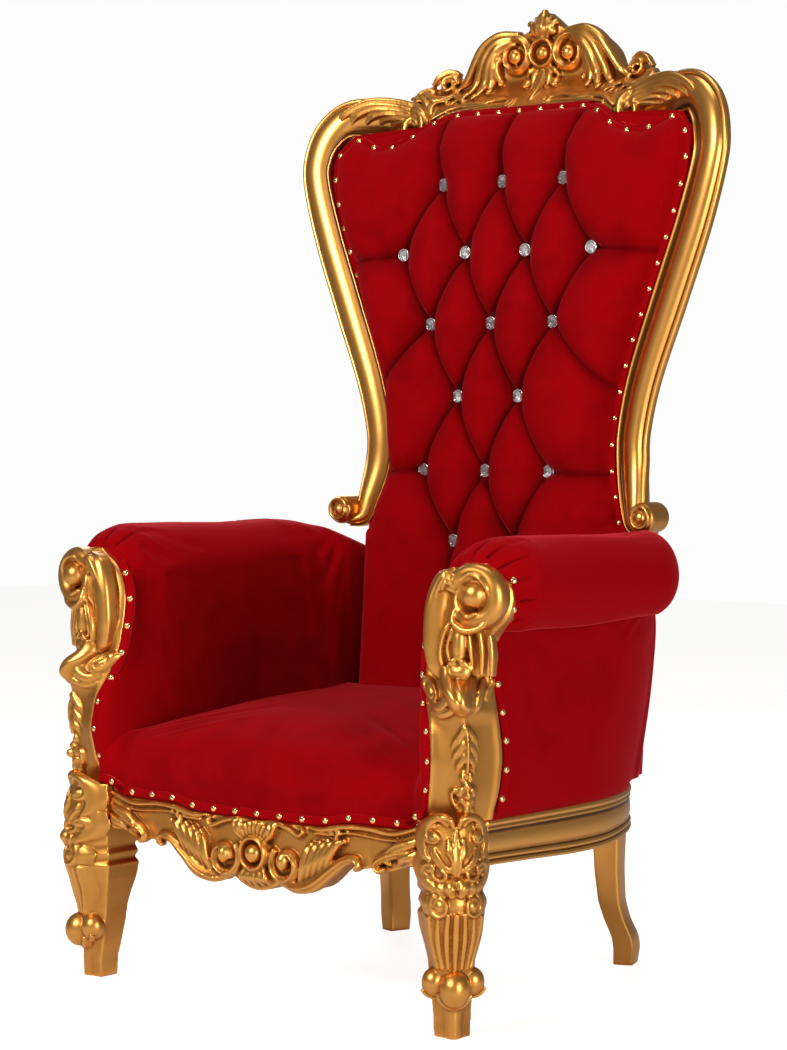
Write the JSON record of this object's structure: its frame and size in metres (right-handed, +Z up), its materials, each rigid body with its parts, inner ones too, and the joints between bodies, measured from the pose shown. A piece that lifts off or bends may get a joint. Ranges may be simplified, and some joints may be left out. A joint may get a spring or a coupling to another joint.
{
  "type": "high-backed throne",
  "caption": "Ceremonial armchair with a tall tufted velvet back, rolled arms and a crowned seat, in a carved and gilded frame on scrolled legs.",
  "frame": {"origin": "on the floor, at the middle of the box around the throne seen from above", "axes": "+Z up, the seat faces -Y, +X to the right of someone looking at the front"},
  "size_m": [1.0332, 0.9034, 1.801],
  "materials": {
    "gilding": "satin gold paint with a darker antique wash in the hollows",
    "velvet": "short pile velvet",
    "crystal": "faceted and clear over a silvered back",
    "nail_brass": "polished domed nail heads"
  },
  "bodies": {
    "root": {"front_leg_right": "gilding", "front_leg_left": "gilding", "arm_post_right": "gilding", "arm_post_left": "gilding", "front_rail": "gilding", "side_rail_right": "gilding", "side_rail_left": "gilding", "back_rail": "gilding", "back_leg_right": "gilding", "back_leg_left": "gilding", "back_stile_right": "gilding", "back_stile_left": "gilding", "crest": "gilding", "seat_cushion": "velvet", "arm_pad_right": "velvet", "arm_pad_left": "velvet", "back_pad": "velvet", "back_panel": "velvet", "button_1_1": "crystal", "button_1_2": "crystal", "button_1_3": "crystal", "button_2_1": "crystal", "button_2_2": "crystal", "button_2_3": "crystal", "button_2_4": "crystal", "button_3_1": "crystal", "button_3_2": "crystal", "button_3_3": "crystal", "button_4_1": "crystal", "button_4_2": "crystal", "button_5_1": "crystal", "button_5_2": "crystal", "button_5_3": "crystal", "button_6_1": "crystal", "button_6_2": "crystal"}
  },
  "joints": []
}
